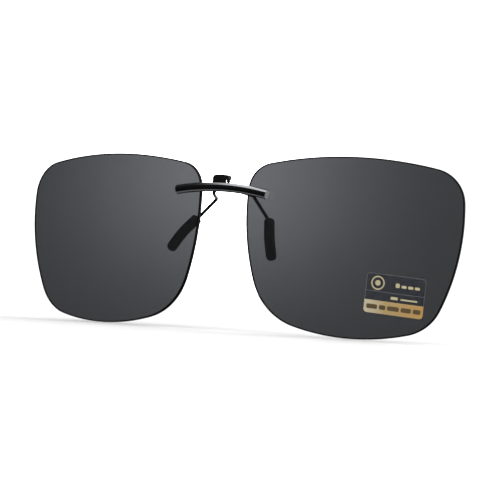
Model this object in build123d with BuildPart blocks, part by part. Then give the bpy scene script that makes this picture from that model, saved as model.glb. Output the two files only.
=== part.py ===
from build123d import *
import os

# Clip-on sunglasses: two rimless lenses on a round bridge bar, and a sprung claw behind the bar.
# Millimetres. +X is the viewer's right from the front, -Y is the front, +Z is up.
# The origin is where the claw's tips meet the backs of the lenses.

# Lenses
LENS_CURVE_R = 265.0
LENS_THICKNESS = 1.0
PATCH_ANGLE = 12.0
LENS_CENTRE_X = 37.26
LENS_FRONT_Y = 0.5
LENS_CENTRE_Z = 3.2
WRAP = 6.5
RIM_CHAMFER = 0.15
BLANK_REACH = 10.0
# The outline is what four large discs share: (outward, up, radius), about the lens centre
OUTLINE_DISCS = ((-1.7, -91.9, 114.65), (-25.3, 7.5, 55.3), (1.9, 38.6, 63.0), (35.7, 9.5, 65.75))
# Corner radii by the corner's direction: (outward, up, radius)
CORNERS = ((1, 1, 9.6), (1, -1, 12.3), (-1, -1, 17.4), (-1, 1, 7.5))

# Bridge bar
BAR_R = 1.25
BAR_HALF = 13.95
BAR_SHIFT_X = 0.2
BAR_Y = -2.48
BAR_MID_Z = 16.95
BAR_ARC_R = 73.2
# The bar leans down to the right by this many degrees
BAR_LEAN = 1.5
BAR_END_CHAMFER = 0.12

# Lens fixings: a stud from the bar through a bush, a washer and a nut
STUD_X = (8.7, 11.2)
STUD_R = 0.4
STUD_END_Y = 1.15
BORE_REACH = 4.0
BUSH_R = 0.65
BUSH_FLANGE_R = 1.0
BUSH_FLANGE_Y = -0.6
FLANGE_GAP = 0.01
WASHER_R = 0.9
WASHER_FRONT_Y = -0.2
WASHER_BACK_Y = 0.42
NUT_ACROSS_CORNERS_R = 0.9
NUT_HEIGHT = 0.6

# Hinge
CLIP_X = -1.1
PIVOT_Y = -0.15
PIVOT_Z = 17.2
PIN_R = 0.3
PIN_HALF = 2.5
PIN_HEAD_R = 0.5
PIN_HEAD_THICKNESS = 0.2
RUNNING_CLEARANCE = 0.04
EAR_INNER_X = 0.95
EAR_OUTER_X = 1.35
EAR_R = 0.72
SADDLE_HALF_HEIGHT = 0.8
SADDLE_BACK_Y = -0.9
SADDLE_FRONT_Y = -1.9
NOTCH_X = 0.65
NOTCH_WIDTH = 0.6

# Torsion spring
SPRING_WIRE_R = 0.11
SPRING_R = 0.5
SPRING_TURNS = 4.72
SPRING_PITCH = 0.26
HOOK_Y = -0.74
HOOK_Z = 18.06
HOOK_END_X = 2.1
HOOK_BEND_R = 0.2
LEG_SEAT = 0.05

# Claw: wire lever, arms and rubber
WIRE_R = 0.45
LEVER_WIRE_R = 0.35
LEG_X = 1.95
LEG_Y = -0.25
LOOP_TOP_Z = 19.8
LOOP_BEND_R = 0.9
KNUCKLE_R = 0.8
KNUCKLE_HALF = 0.5
TIP_R = 1.42
TIP_BEND_R = 18.0
TIP_OVERHANG = 0.3
TIP_TOP_FILLET = 0.5
TIP_BOTTOM_FILLET = 1.25
ARM_BEND_R = 1.0
ARM_FOOT = (1.95, 0.05, 16.7)
ARM_FOOT_BEND_R = 0.5
# Top, middle and bottom of each tip: the left tip sits a little higher than the right one
TIP_LINES = {
    "left": ((11.4, 6.74, 8.6), (13.65, 3.29, 4.6), (15.45, 1.54, 0.7)),
    "right": ((11.4, 6.74, 8.6), (13.65, 3.29, 3.45), (15.45, 1.54, -0.7)),
}
# The left shoulder hangs lower than the right one, which hides behind the bar
ARM_SHOULDERS = {
    "left": ((2.75, 0.2, 15.37), (5.0, 5.9, 14.26)),
    "right": ((2.6, 1.4, 16.5), (6.5, 5.9, 15.3)),
}

# Thumb pad
PAD_HALF_WIDTH = 2.5
PAD_TOP_Z = 20.5
PAD_SHOULDER_Z = 20.15
PAD_SHELF_Z = 19.1
PAD_BOTTOM_Z = 18.45
PAD_FRONT_Y = -1.2
PAD_BACK_Y = 0.45
PAD_SKIRT_BACK_Y = -0.6
# The skirt stops short of the right leg, where the spring's end hooks on
PAD_SKIRT_RIGHT = 1.5
PAD_SLEEVE_R = 0.5
PAD_CORNER_R = 0.6
PAD_LIP_CHAMFER = 0.2

# Label on the right lens, in the lens's own plane
LABEL_CENTRE = (13.05, -12.6)
LABEL_WIDTH = 15.75
LABEL_HEIGHT = 10.2
LABEL_TURN = -4.4
LABEL_CORNER_R = 0.9
FILM_THICKNESS = 0.08
PRINT_THICKNESS = 0.04
BAND_HEIGHT = 3.3
SUN_R = 1.55
SUN_RING = 0.32
SUN_CENTRE = (-4.6, 2.55)
SUN_CORE_R = 0.62
FILM_REACH = 5.0
BAR_MARKS = ((1.6, 2.55, 7.2, 0.9), (-1.4, -0.75, 2.6, 1.0), (3.2, -0.75, 4.4, 0.5))

os.makedirs("parts", exist_ok=True)
finished = []


def keep(builder, name):
    """Labels a finished sub-part and puts it on the list to export."""
    builder.part.label = name
    finished.append(builder.part)


def lens_plane(out=0.0, up=0.0, turn=0.0):
    """The right lens's own plane about a point on it: X outward, Y up, Z to the front."""
    outward = Vector(1, 0, 0).rotate(Axis.Z, WRAP)
    forward = Vector(0, -1, 0).rotate(Axis.Z, WRAP)
    origin = Vector(LENS_CENTRE_X, LENS_FRONT_Y, LENS_CENTRE_Z) + outward * out + Vector(0, 0, up)
    return Plane(origin=origin, x_dir=outward, z_dir=forward).rotated((0, 0, turn))


def lens_shell(inner, outer):
    """A patch of the lens's sphere between two heights above its front face, larger than the lens."""
    plane = lens_plane()
    centre = plane.offset(-LENS_CURVE_R).origin
    facing = Plane(origin=centre, x_dir=plane.z_dir, z_dir=(0, 0, 1)).rotated((0, 0, -PATCH_ANGLE))
    wedges = [
        Sphere(LENS_CURVE_R + height, -PATCH_ANGLE, PATCH_ANGLE, 2 * PATCH_ANGLE, align=None, mode=Mode.PRIVATE)
        for height in (outer, inner)
    ]
    return facing.location * (wedges[0] - wedges[1])


def mirrored(point, side):
    """A point of the claw, on the side that is asked for, in the model's frame."""
    return (CLIP_X + side * point[0], point[1], point[2])


def bar_z(x):
    """Height of the bar's axis at x, on its leaning arc."""
    centre = Vector(0, 0, BAR_MID_Z) + Vector(0, 0, -BAR_ARC_R).rotate(Axis.Y, BAR_LEAN)
    return centre.Z + (BAR_ARC_R**2 - (x - centre.X) ** 2) ** 0.5


def rod(path, radius):
    """Sketches a round section at the start of a path and sweeps it along."""
    with BuildSketch(Plane(origin=path @ 0, z_dir=path % 0)) as section:
        Circle(radius)
    sweep(section.sketch, path=path)


# Bridge bar
with BuildPart() as bridge_bar:
    with BuildLine() as bar_line:
        ThreePointArc(*[(BAR_SHIFT_X + x, BAR_Y, bar_z(BAR_SHIFT_X + x)) for x in (-BAR_HALF, 0, BAR_HALF)])
    rod(bar_line.line, BAR_R)
    chamfer(bridge_bar.edges().filter_by(GeomType.CIRCLE).filter_by(lambda e: e.length < 9), BAR_END_CHAMFER)
keep(bridge_bar, "bridge_bar")

# Lenses: one blank, mirrored for the left side, each drilled where the bar's studs come
stud_places = [(side * x, 0, bar_z(side * x)) for side in (-1, 1) for x in STUD_X]

with BuildPart() as blank:
    with BuildSketch(lens_plane()) as outline:
        for number, (out, up, radius) in enumerate(OUTLINE_DISCS):
            with Locations((out, up)):
                Circle(radius, mode=Mode.INTERSECT if number else Mode.ADD)
        for out, up, radius in CORNERS:
            corner = outline.vertices().sort_by(lambda v: v.X * out + v.Y * up)[-1]
            fillet(corner, radius)
    extrude(amount=BLANK_REACH, both=True)
    add(lens_shell(-LENS_THICKNESS, 0), mode=Mode.INTERSECT)
    rims = blank.edges().filter_by(lambda e: e.length > 4 and e.geom_type != GeomType.LINE)
    chamfer(rims, RIM_CHAMFER)


def drill():
    """Drills every stud's hole through the lens being built."""
    for x, _, z in stud_places:
        with BuildSketch(Plane((x, 0, z), z_dir=(0, 1, 0))) as bore:
            Circle(BUSH_R)
        extrude(bore.sketch, amount=BORE_REACH, both=True, mode=Mode.SUBTRACT)


with BuildPart() as lens_right:
    add(blank.part)
    drill()
keep(lens_right, "lens_right")

with BuildPart() as lens_left:
    mirror(blank.part, about=Plane.YZ)
    drill()
keep(lens_left, "lens_left")


def disc_along_y(radius, front, back):
    """Sketches a circle at every stud and extrudes it along Y from front to back."""
    for x, _, z in stud_places:
        with BuildSketch(Plane((x, front, z), x_dir=(1, 0, 0), z_dir=(0, 1, 0))) as section:
            Circle(radius)
        extrude(section.sketch, amount=back - front)


# Studs, bushes, washers and nuts, one of each at four places
with BuildPart() as lens_studs:
    disc_along_y(STUD_R, BAR_Y, STUD_END_Y)
    add(bridge_bar.part, mode=Mode.SUBTRACT)
keep(lens_studs, "lens_studs")

with BuildPart() as lens_bushes:
    disc_along_y(BUSH_FLANGE_R, BAR_Y + BAR_R + FLANGE_GAP, BUSH_FLANGE_Y)
    disc_along_y(BUSH_R, BUSH_FLANGE_Y, WASHER_BACK_Y)
    for piece in (lens_right, lens_left, lens_studs, bridge_bar):
        add(piece.part, mode=Mode.SUBTRACT)
keep(lens_bushes, "lens_bushes")

with BuildPart() as lens_washers:
    disc_along_y(WASHER_R, WASHER_FRONT_Y, WASHER_BACK_Y)
    for piece in (lens_right, lens_left, lens_studs, lens_bushes):
        add(piece.part, mode=Mode.SUBTRACT)
keep(lens_washers, "lens_washers")

with BuildPart() as lens_nuts:
    for x, _, z in stud_places:
        with BuildSketch(Plane((x, WASHER_BACK_Y, z), x_dir=(1, 0, 0), z_dir=(0, 1, 0))):
            RegularPolygon(NUT_ACROSS_CORNERS_R, 6)
    extrude(amount=NUT_HEIGHT)
    add(lens_studs.part, mode=Mode.SUBTRACT)
keep(lens_nuts, "lens_nuts")

# Hinge bracket: a saddle brazed to the bar's back, with two ears for the pin
with BuildPart() as hinge_bracket:
    ear_plane = Plane((CLIP_X, PIVOT_Y, PIVOT_Z), x_dir=(0, 1, 0), z_dir=(1, 0, 0))
    for side in (-1, 1):
        with BuildSketch(ear_plane.offset(side * (EAR_INNER_X + EAR_OUTER_X) / 2)):
            Circle(EAR_R)
            with Locations(((SADDLE_FRONT_Y - PIVOT_Y) / 2, 0)):
                Rectangle(PIVOT_Y - SADDLE_FRONT_Y, 2 * EAR_R)
            Circle(PIN_R, mode=Mode.SUBTRACT)
        extrude(amount=(EAR_OUTER_X - EAR_INNER_X) / 2, both=True)
    with BuildSketch(Plane.XZ.offset(-SADDLE_BACK_Y)):
        with Locations((CLIP_X, PIVOT_Z)):
            Rectangle(2 * EAR_OUTER_X, 2 * SADDLE_HALF_HEIGHT)
    extrude(amount=SADDLE_BACK_Y - SADDLE_FRONT_Y)
    # A notch in the saddle's top gives the spring's moving leg its room
    with BuildSketch(Plane.XZ.offset(-SADDLE_BACK_Y)):
        with Locations((CLIP_X + NOTCH_X, PIVOT_Z + SADDLE_HALF_HEIGHT)):
            Rectangle(NOTCH_WIDTH, 2 * SADDLE_HALF_HEIGHT)
    extrude(amount=SADDLE_BACK_Y - SADDLE_FRONT_Y, mode=Mode.SUBTRACT)
    add(bridge_bar.part, mode=Mode.SUBTRACT)
keep(hinge_bracket, "hinge_bracket")

# Hinge pin, peened over at both ends
with BuildPart() as hinge_pin:
    with BuildSketch(ear_plane):
        Circle(PIN_R)
    extrude(amount=PIN_HALF, both=True)
    for side in (-1, 1):
        with BuildSketch(ear_plane.offset(side * PIN_HALF)):
            Circle(PIN_HEAD_R)
        extrude(amount=side * PIN_HEAD_THICKNESS)
keep(hinge_pin, "hinge_pin")

# Press lever: a wire loop with a knuckle at each foot
with BuildPart() as press_lever:
    with BuildLine() as loop_line:
        FilletPolyline(
            (CLIP_X - LEG_X, LEG_Y, PIVOT_Z),
            (CLIP_X - LEG_X, LEG_Y, LOOP_TOP_Z),
            (CLIP_X + LEG_X, LEG_Y, LOOP_TOP_Z),
            (CLIP_X + LEG_X, LEG_Y, PIVOT_Z),
            radius=LOOP_BEND_R,
        )
    rod(loop_line.line, LEVER_WIRE_R)
    for side in (-1, 1):
        with BuildSketch(ear_plane.offset(side * LEG_X)):
            Circle(KNUCKLE_R)
        extrude(amount=KNUCKLE_HALF, both=True)
    with BuildSketch(ear_plane):
        Circle(PIN_R + RUNNING_CLEARANCE)
    extrude(amount=2 * LEG_X, both=True, mode=Mode.SUBTRACT)
keep(press_lever, "press_lever")

# Thumb pad moulded over the loop: cap, front skirt and a sleeve on each leg
with BuildPart() as thumb_pad:
    with BuildSketch(Plane.XZ.offset(-PAD_FRONT_Y)):
        with BuildLine():
            left, right = CLIP_X - PAD_HALF_WIDTH, CLIP_X + PAD_HALF_WIDTH
            Polyline((left, PAD_SHOULDER_Z), (left, PAD_SHELF_Z), (right, PAD_SHELF_Z), (right, PAD_SHOULDER_Z))
            ThreePointArc((left, PAD_SHOULDER_Z), (CLIP_X, PAD_TOP_Z), (right, PAD_SHOULDER_Z))
        make_face()
    extrude(amount=PAD_FRONT_Y - PAD_BACK_Y)
    fillet(thumb_pad.edges().filter_by(Axis.Y).group_by(Axis.Z)[-1], PAD_CORNER_R)
    with BuildSketch(Plane.XZ.offset(-PAD_FRONT_Y)):
        with Locations((left, PAD_BOTTOM_Z)):
            Rectangle(
                PAD_HALF_WIDTH + PAD_SKIRT_RIGHT, PAD_SHELF_Z - PAD_BOTTOM_Z, align=(Align.MIN, Align.MIN)
            )
    extrude(amount=PAD_FRONT_Y - PAD_SKIRT_BACK_Y)
    chamfer(thumb_pad.edges().filter_by(Axis.X).group_by(Axis.Z)[0].sort_by(Axis.Y)[0], PAD_LIP_CHAMFER)
    for side in (-1, 1):
        with BuildSketch(Plane((CLIP_X + side * LEG_X, LEG_Y, PAD_BOTTOM_Z))):
            Circle(PAD_SLEEVE_R)
        extrude(amount=PAD_SHELF_Z - PAD_BOTTOM_Z)
    add(press_lever.part, mode=Mode.SUBTRACT)
keep(thumb_pad, "thumb_pad")

# Claw arms and their rubber tips, the wire's core running on inside the rubber
for side, name in ((-1, "left"), (1, "right")):
    top, middle, bottom = TIP_LINES[name]
    with BuildPart() as claw_arm:
        with BuildLine() as arm_line:
            corners = [mirrored(p, side) for p in (ARM_FOOT, *ARM_SHOULDERS[name], top, middle, bottom)]
            FilletPolyline(*corners, radius=[ARM_FOOT_BEND_R, ARM_BEND_R, ARM_BEND_R, TIP_BEND_R])
        rod(arm_line.line, WIRE_R)
        with BuildSketch(ear_plane.offset(side * LEG_X)):
            Circle(KNUCKLE_R)
        extrude(amount=KNUCKLE_HALF + WIRE_R, both=True, mode=Mode.SUBTRACT)
    keep(claw_arm, f"claw_arm_{name}")

    start = Vector(top) + (Vector(top) - Vector(middle)).normalized() * TIP_OVERHANG
    end = Vector(bottom) + (Vector(bottom) - Vector(middle)).normalized() * TIP_BOTTOM_FILLET
    with BuildPart() as tip_sleeve:
        with BuildLine() as tip_line:
            corners = [mirrored(tuple(p), side) for p in (start, Vector(middle), end)]
            FilletPolyline(*corners, radius=TIP_BEND_R)
        rod(tip_line.line, TIP_R)
        ends = tip_sleeve.faces().filter_by(GeomType.PLANE).sort_by(Axis.Z)
        fillet(ends[-1].edges(), TIP_TOP_FILLET)
        fillet(ends[0].edges(), TIP_BOTTOM_FILLET)
        add(claw_arm.part, mode=Mode.SUBTRACT)
    keep(tip_sleeve, f"tip_sleeve_{name}")

# Torsion spring on the pin: one leg in the saddle, the other hooked before the lever's right leg
with BuildPart() as torsion_spring:
    coil_length = SPRING_TURNS * SPRING_PITCH
    coil_left, coil_right = CLIP_X - coil_length / 2, CLIP_X + coil_length / 2
    coil_start = Plane((coil_left, PIVOT_Y, PIVOT_Z), x_dir=(0, 0, 1), z_dir=(1, 0, 0))
    with BuildLine() as coil_line:
        add(coil_start.location * Helix(SPRING_PITCH, coil_length, SPRING_R, lefthand=True, mode=Mode.PRIVATE))
    rod(coil_line.line, SPRING_WIRE_R)
    with BuildLine() as fixed_leg:
        Line(coil_line.line @ 0.01, (coil_left, SADDLE_BACK_Y + LEG_SEAT, PIVOT_Z + SPRING_R + LEG_SEAT))
    rod(fixed_leg.line, SPRING_WIRE_R)
    with BuildLine() as moving_leg:
        FilletPolyline(
            coil_line.line @ 0.99,
            (coil_right, HOOK_Y, HOOK_Z),
            (CLIP_X + HOOK_END_X, HOOK_Y, HOOK_Z),
            radius=HOOK_BEND_R,
        )
    rod(moving_leg.line, SPRING_WIRE_R)
keep(torsion_spring, "torsion_spring")

# Label: a film on the right lens with a foil band and a printed sun and bars
label_plane = lens_plane(*LABEL_CENTRE, LABEL_TURN)

with BuildPart() as label_film:
    with BuildSketch(label_plane):
        RectangleRounded(LABEL_WIDTH, LABEL_HEIGHT, LABEL_CORNER_R)
    extrude(amount=FILM_REACH, both=True)
    add(lens_shell(0, FILM_THICKNESS), mode=Mode.INTERSECT)
keep(label_film, "label_film")

with BuildPart() as label_band:
    with BuildSketch(label_plane):
        RectangleRounded(LABEL_WIDTH, LABEL_HEIGHT, LABEL_CORNER_R)
        with Locations((0, BAND_HEIGHT)):
            Rectangle(LABEL_WIDTH, LABEL_HEIGHT, mode=Mode.SUBTRACT)
    extrude(amount=FILM_REACH, both=True)
    add(lens_shell(FILM_THICKNESS, FILM_THICKNESS + PRINT_THICKNESS), mode=Mode.INTERSECT)
keep(label_band, "label_band")

with BuildPart() as label_print:
    with BuildSketch(label_plane):
        with Locations(SUN_CENTRE):
            Circle(SUN_R)
            Circle(SUN_R - SUN_RING, mode=Mode.SUBTRACT)
            Circle(SUN_CORE_R)
        for x, y, width, height in BAR_MARKS:
            with Locations((x, y)):
                Rectangle(width, height)
    extrude(amount=FILM_REACH, both=True)
    add(lens_shell(FILM_THICKNESS, FILM_THICKNESS + PRINT_THICKNESS), mode=Mode.INTERSECT)
keep(label_print, "label_print")

for part in finished:
    export_step(part, f"parts/{part.label}.step")
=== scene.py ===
"""Looks of the clip-on sunglasses: tinted lenses, bridge bar, sprung claw and label."""

import logging
import math
from dataclasses import dataclass
from enum import Enum
from typing import Iterable, Sequence

import bmesh
import bpy
from mathutils import Matrix, Vector


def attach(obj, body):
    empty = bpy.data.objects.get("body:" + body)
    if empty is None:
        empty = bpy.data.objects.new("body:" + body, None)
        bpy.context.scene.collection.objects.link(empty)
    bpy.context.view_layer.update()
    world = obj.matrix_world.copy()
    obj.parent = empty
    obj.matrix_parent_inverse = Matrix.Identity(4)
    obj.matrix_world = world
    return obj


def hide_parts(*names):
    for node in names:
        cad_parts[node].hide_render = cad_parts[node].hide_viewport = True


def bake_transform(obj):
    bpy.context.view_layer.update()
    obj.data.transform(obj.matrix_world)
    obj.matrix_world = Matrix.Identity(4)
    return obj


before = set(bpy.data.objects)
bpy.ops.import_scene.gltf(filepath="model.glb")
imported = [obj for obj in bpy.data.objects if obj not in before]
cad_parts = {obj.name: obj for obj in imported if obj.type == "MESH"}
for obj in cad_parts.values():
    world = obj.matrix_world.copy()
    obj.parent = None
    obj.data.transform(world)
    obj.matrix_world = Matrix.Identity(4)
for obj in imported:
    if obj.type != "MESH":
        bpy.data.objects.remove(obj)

LOG = logging.getLogger("clip_on")
MM = 0.001
FRONT_BODY = "front"
CLAW_BODY = "claw"
CLAW_X = -1.1
PIVOT = Vector((CLAW_X, -0.15, 17.2))
WIRE_RADIUS = 0.45
HEAD_STEPS = 8
FLASH_SHARE = 0.995
Node, Socket, Tree = bpy.types.Node, bpy.types.NodeSocket, bpy.types.NodeTree
Material, Mesh, Piece = bpy.types.Material, bpy.types.Mesh, bpy.types.Object
Pair, Triple, Ramp = tuple[float, float], tuple[float, float, float], tuple[float, float, float, float]
Faces = list[list[int]]
Solid = tuple[list[Vector], Faces]


class Side(Enum):
    """The wearer-neutral sides of the part, by the sign of X."""

    LEFT = -1
    RIGHT = 1

    @property
    def word(self) -> str:
        """The side's name in lower case."""
        return self.name.lower()


# ---------------- shading helpers


def linear(hex_colour: str) -> tuple[float, ...]:
    """Turns an sRGB hex colour to linear RGBA.

    Args:
        hex_colour: six hex digits, with or without a leading #.

    Returns:
        Red, green, blue and an alpha of one, in linear light.
    """
    digits = hex_colour.lstrip("#")
    levels = [int(digits[i : i + 2], 16) / 255 for i in (0, 2, 4)]
    red, green, blue = (v / 12.92 if v <= 0.04045 else ((v + 0.055) / 1.055) ** 2.4 for v in levels)
    return red, green, blue, 1.0


def add_node(tree: Tree, kind: str, settings: dict[str, object] | None = None, **links: object) -> Node:
    """Adds one node with its settings and its inputs.

    Args:
        tree: the tree that gets the node.
        kind: the node's type name.
        settings: properties of the node itself.
        **links: an input's name, with spaces as underscores, or i and its number; the value is
            a socket to link from or a constant.

    Returns:
        The new node.
    """
    node = tree.nodes.new(kind)
    for name, value in (settings or {}).items():
        setattr(node, name, value)
    for name, value in links.items():
        numbered = name[0] == "i" and name[1:].isdigit()
        socket = node.inputs[int(name[1:])] if numbered else node.inputs[name.replace("_", " ")]
        if isinstance(value, Socket):
            tree.links.new(value, socket)
        else:
            socket.default_value = value
    return node


def math_node(tree: Tree, operation: str, *values: object) -> Socket:
    """Adds a Math node and gives its output.

    Args:
        tree: the tree that gets the node.
        operation: the Math node's operation.
        *values: its inputs in order, sockets or numbers.

    Returns:
        The node's output socket.
    """
    links = {f"i{number}": value for number, value in enumerate(values)}
    return add_node(tree, "ShaderNodeMath", {"operation": operation}, **links).outputs[0]


def new_material(name: str) -> tuple[Material, Tree, Node, Socket]:
    """Starts a material.

    Args:
        name: its name.

    Returns:
        The material, its tree, its shader and the Object coordinates.
    """
    made = bpy.data.materials.new(name)
    made.use_nodes = True
    tree = made.node_tree
    return made, tree, tree.nodes["Principled BSDF"], add_node(tree, "ShaderNodeTexCoord").outputs["Object"]


def noise(tree: Tree, place: object, size_mm: float, detail: float) -> Socket:
    """Adds a noise of one size and gives its strength."""
    scale = 1 / (size_mm * MM)
    return add_node(tree, "ShaderNodeTexNoise", Vector=place, Scale=scale, Detail=detail).outputs["Fac"]


def add_relief(tree: Tree, shader: Node, height: object, height_mm: float) -> None:
    """Turns a height into fine relief on a shader."""
    bump = add_node(tree, "ShaderNodeBump", Height=height, Distance=height_mm * MM, Strength=1.0)
    tree.links.new(bump.outputs[0], shader.inputs["Normal"])


def vary_shade(tree: Tree, shader: Node, colour: str, change: float, share: object) -> None:
    """Shifts a shader's colour a little darker and lighter, by the share from 0 to 1."""
    base = linear(colour)[:3]
    tone = add_node(tree, "ShaderNodeMix", {"data_type": "RGBA"}, Factor=share)
    tone.inputs[6].default_value = (*(v * (1 - change) for v in base), 1.0)
    tone.inputs[7].default_value = (*(min(1.0, v * (1 + change)) for v in base), 1.0)
    tree.links.new(tone.outputs[2], shader.inputs["Base Color"])


@dataclass(frozen=True)
class Finish:
    """A real surface finish: colour, gloss, and the fine relief that making it left."""

    name: str
    colour: str
    roughness: float
    metallic: float = 0.0
    ior: float | None = None
    grain_mm: float = 0.3
    grain_height_mm: float = 0.002
    grain_stretch: Triple = (1.0, 1.0, 1.0)
    shade_change: float = 0.12
    roughness_change: float = 0.1
    transmission: float = 0.0

    def material(self) -> Material:
        """Makes the finish's material, or finds it when it is made already.

        Returns:
            The material, named for the finish.
        """
        known = bpy.data.materials.get(self.name)
        if known:
            return known
        made, tree, shader, place = new_material(self.name)
        place = add_node(tree, "ShaderNodeMapping", Vector=place, Scale=self.grain_stretch).outputs[0]
        grain = noise(tree, place, self.grain_mm, 3.0)
        vary_shade(tree, shader, self.colour, self.shade_change, noise(tree, place, 12 * self.grain_mm, 2.0))
        gloss = add_node(
            tree, "ShaderNodeMapRange", Value=grain, To_Min=self.roughness * (1 - self.roughness_change),
            To_Max=self.roughness * (1 + self.roughness_change),
        )
        tree.links.new(gloss.outputs[0], shader.inputs["Roughness"])
        add_relief(tree, shader, grain, self.grain_height_mm)
        shader.inputs["Metallic"].default_value = self.metallic
        shader.inputs["Transmission Weight"].default_value = self.transmission
        if self.ior is not None:
            shader.inputs["IOR"].default_value = self.ior
        return made


# Black nickel, barrel plated on a polished bar: a dark mirror with soft-edged reflections
BLACK_NICKEL = Finish(
    "black_nickel_plate", "#8f9093", 0.11, metallic=1.0, grain_mm=0.25, grain_height_mm=0.0006,
    shade_change=0.04,
)
# The bar's end faces: a painted reflection, a pale satin grey of their own that stands for the light the cut
# ends catch, with saw and file marks
PALE_END_PAINTED_REFLECTION = Finish(
    "bare_cut_end", "#b4b5b8", 0.5, metallic=0.35, grain_mm=0.1, grain_height_mm=0.004, grain_stretch=(1, 1, 6)
)
# Black oxide on drawn spring wire: nearly black, with a satin line of light along it
BLACK_WIRE = Finish(
    "black_oxide_wire", "#1b1b1d", 0.32, metallic=0.6, grain_mm=0.12, grain_height_mm=0.002, shade_change=0.2
)
# Stainless hardware, turned and left bright: clean grey with fine tool marks
STAINLESS = Finish(
    "turned_stainless", "#b9bbbd", 0.26, metallic=1.0, grain_mm=0.08, grain_height_mm=0.0015, shade_change=0.06
)
# Music wire, drawn: bluish grey with streaks along the wire
MUSIC_WIRE = Finish(
    "drawn_music_wire", "#8e9197", 0.3, metallic=1.0, grain_mm=0.06, grain_height_mm=0.001, shade_change=0.1
)
# Moulded nylon, natural: milky and translucent, like frosted glass
CLEAR_NYLON = Finish(
    "natural_nylon", "#d9d9d4", 0.38, ior=1.53, grain_mm=0.2, shade_change=0.04, transmission=0.75
)
# Silicone rubber moulded in a blasted tool: deep matte black with a faint velvety bloom
BLACK_SILICONE = Finish(
    "moulded_black_silicone", "#111112", 0.6, ior=1.3, grain_mm=0.09, grain_height_mm=0.012, shade_change=0.18
)
# The lens blank's edge, ground on a wheel and inked black: satin, with marks along the rim
INKED_EDGE = Finish(
    "ground_and_inked_edge", "#030303", 0.6, ior=1.25, grain_mm=0.15, grain_height_mm=0.004, shade_change=0.25
)
# Clear polyester film: it smooths and slightly dulls what lies under it
CLEAR_FILM = Finish(
    "clear_polyester_film", "#adafb7", 0.03, ior=1.45, grain_mm=1.2, grain_height_mm=0.0015,
    shade_change=0.05, transmission=1.0,
)
# Printing inks: pale gold, slightly uneven; grey, only just lighter than the lens; brown on foil
GOLD_INK = Finish(
    "pale_gold_ink", "#b9ae88", 0.5, ior=1.5, grain_mm=0.25, grain_height_mm=0.003, shade_change=0.2
)
GREY_INK = Finish(
    "thin_grey_ink", "#6a6a6f", 0.5, ior=1.5, grain_mm=0.4, grain_height_mm=0.002, shade_change=0.3
)
BROWN_INK = Finish(
    "brown_ink_on_foil", "#5d4a2c", 0.5, ior=1.5, grain_mm=0.3, grain_height_mm=0.002, shade_change=0.25
)


@dataclass(frozen=True)
class PolarisedLaminate:
    """Grey polarising film between two hard-coated sheets: clear-cut, dark and neutral."""

    name: str = "polarised_grey_laminate"
    tint: str = "#323335"
    haze: float = 0.010
    ripple_mm: float = 14.0
    ripple_height_mm: float = 0.0012
    shade_change: float = 0.04
    roughness: float = 0.015
    ior: float = 1.5
    scatter: str = "#e8ebf0"

    def material(self) -> Material:
        """Makes the laminate's material.

        Returns:
            A tinted refracting slab with a trace of milky scatter in its hard coat.
        """
        made, tree, shader, place = new_material(self.name)
        ripple = noise(tree, place, self.ripple_mm, 1.0)
        vary_shade(tree, shader, self.tint, self.shade_change, ripple)
        add_relief(tree, shader, ripple, self.ripple_height_mm)
        shader.inputs["Roughness"].default_value = self.roughness
        shader.inputs["IOR"].default_value = self.ior
        shader.inputs["Transmission Weight"].default_value = 1.0
        scatter = add_node(tree, "ShaderNodeBsdfDiffuse", Color=linear(self.scatter))
        both = add_node(tree, "ShaderNodeMixShader", Fac=self.haze)
        tree.links.new(shader.outputs[0], both.inputs[1])
        tree.links.new(scatter.outputs[0], both.inputs[2])
        tree.links.new(both.outputs[0], tree.nodes["Material Output"].inputs["Surface"])
        return made


# ---------------- mesh helpers


def new_piece(
    name: str, points: Iterable[Sequence[float]], faces: Iterable[Sequence[int]],
    *materials: Material, sharp_above: float = 35.0,
) -> Piece:
    """Makes a smooth-shaded mesh object from points in millimetres.

    Args:
        name: the piece's name.
        points: its points in the row frame, in mm.
        faces: its faces, as numbers of points.
        *materials: its materials, in slot order.
        sharp_above: edges that turn by more degrees than this stay crisp.

    Returns:
        The object, at the origin and linked to the scene.
    """
    mesh = bpy.data.meshes.new(name)
    mesh.from_pydata([Vector(p) * MM for p in points], [], [tuple(f) for f in faces])
    return finish_piece(name, mesh, *materials, sharp_above=sharp_above)


def finish_piece(name: str, mesh: Mesh, *materials: Material, sharp_above: float = 35.0) -> Piece:
    """Closes a mesh's seams, turns its faces outwards and makes it an object.

    Args:
        name: the piece's name.
        mesh: its mesh, in metres.
        *materials: its materials, in slot order; none keeps those that the mesh has.
        sharp_above: edges that turn by more degrees than this stay crisp.

    Returns:
        The object, at the origin and linked to the scene.
    """
    work = bmesh.new()
    work.from_mesh(mesh)
    bmesh.ops.remove_doubles(work, verts=work.verts, dist=1e-7)
    bmesh.ops.dissolve_degenerate(work, edges=work.edges, dist=1e-8)
    bmesh.ops.recalc_face_normals(work, faces=work.faces)
    work.to_mesh(mesh)
    work.free()
    if materials:
        mesh.materials.clear()
        for material in materials:
            mesh.materials.append(material)
    mesh.polygons.foreach_set("use_smooth", [True] * len(mesh.polygons))
    mesh.set_sharp_from_angle(angle=math.radians(sharp_above))
    piece = bpy.data.objects.new(name, mesh)
    bpy.context.scene.collection.objects.link(piece)
    return piece


def evaluated(piece: Piece) -> Mesh:
    """Gives the mesh that a piece's modifiers make, and takes the piece away.

    Args:
        piece: an object with live modifiers.

    Returns:
        The plain mesh.
    """
    graph = bpy.context.evaluated_depsgraph_get()
    mesh = bpy.data.meshes.new_from_object(piece.evaluated_get(graph), depsgraph=graph)
    bpy.data.objects.remove(piece)
    return mesh


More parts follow.
